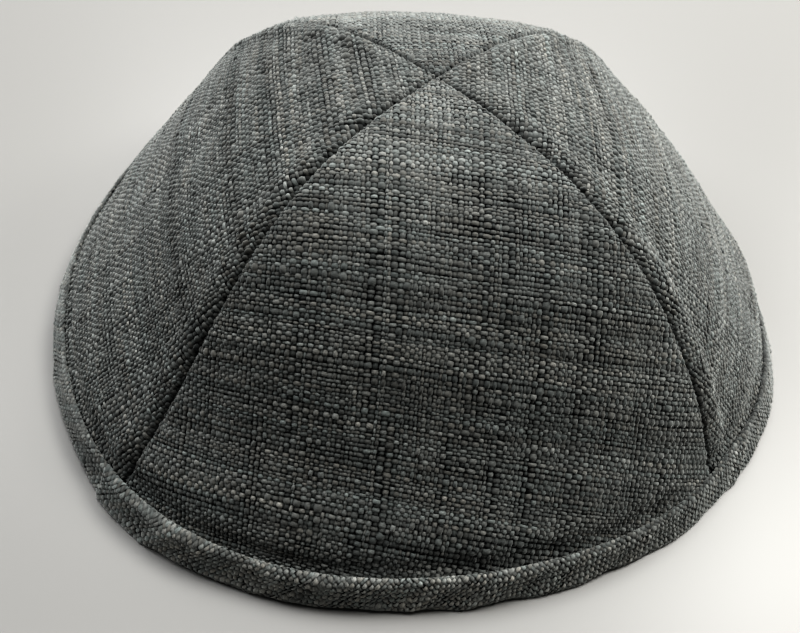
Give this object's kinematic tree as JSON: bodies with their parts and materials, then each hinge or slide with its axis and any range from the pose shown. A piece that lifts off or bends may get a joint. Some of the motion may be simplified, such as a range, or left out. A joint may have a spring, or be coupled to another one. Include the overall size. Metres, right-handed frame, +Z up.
{
  "type": "kippah",
  "caption": "Low rounded skullcap of four sewn cloth panels meeting at the top, with a bias binding folded round the open rim.",
  "frame": {"origin": "middle of the footprint on the surface that the rim rests on", "axes": "+Z up out of the crown's top, -Y towards the front panel, +X towards the right panel"},
  "size_m": [0.1662, 0.1666, 0.058],
  "materials": {
    "crown_cloth": "coarse plain-woven slubby cloth in mixed grey and charcoal yarns, matt",
    "binding_cloth": "the same cloth cut on the bias, folded over and stitched, matt"
  },
  "bodies": {
    "root": {"crown_panel_front": "crown_cloth", "crown_panel_right": "crown_cloth", "crown_panel_back": "crown_cloth", "crown_panel_left": "crown_cloth", "rim_binding": "binding_cloth"}
  },
  "joints": []
}
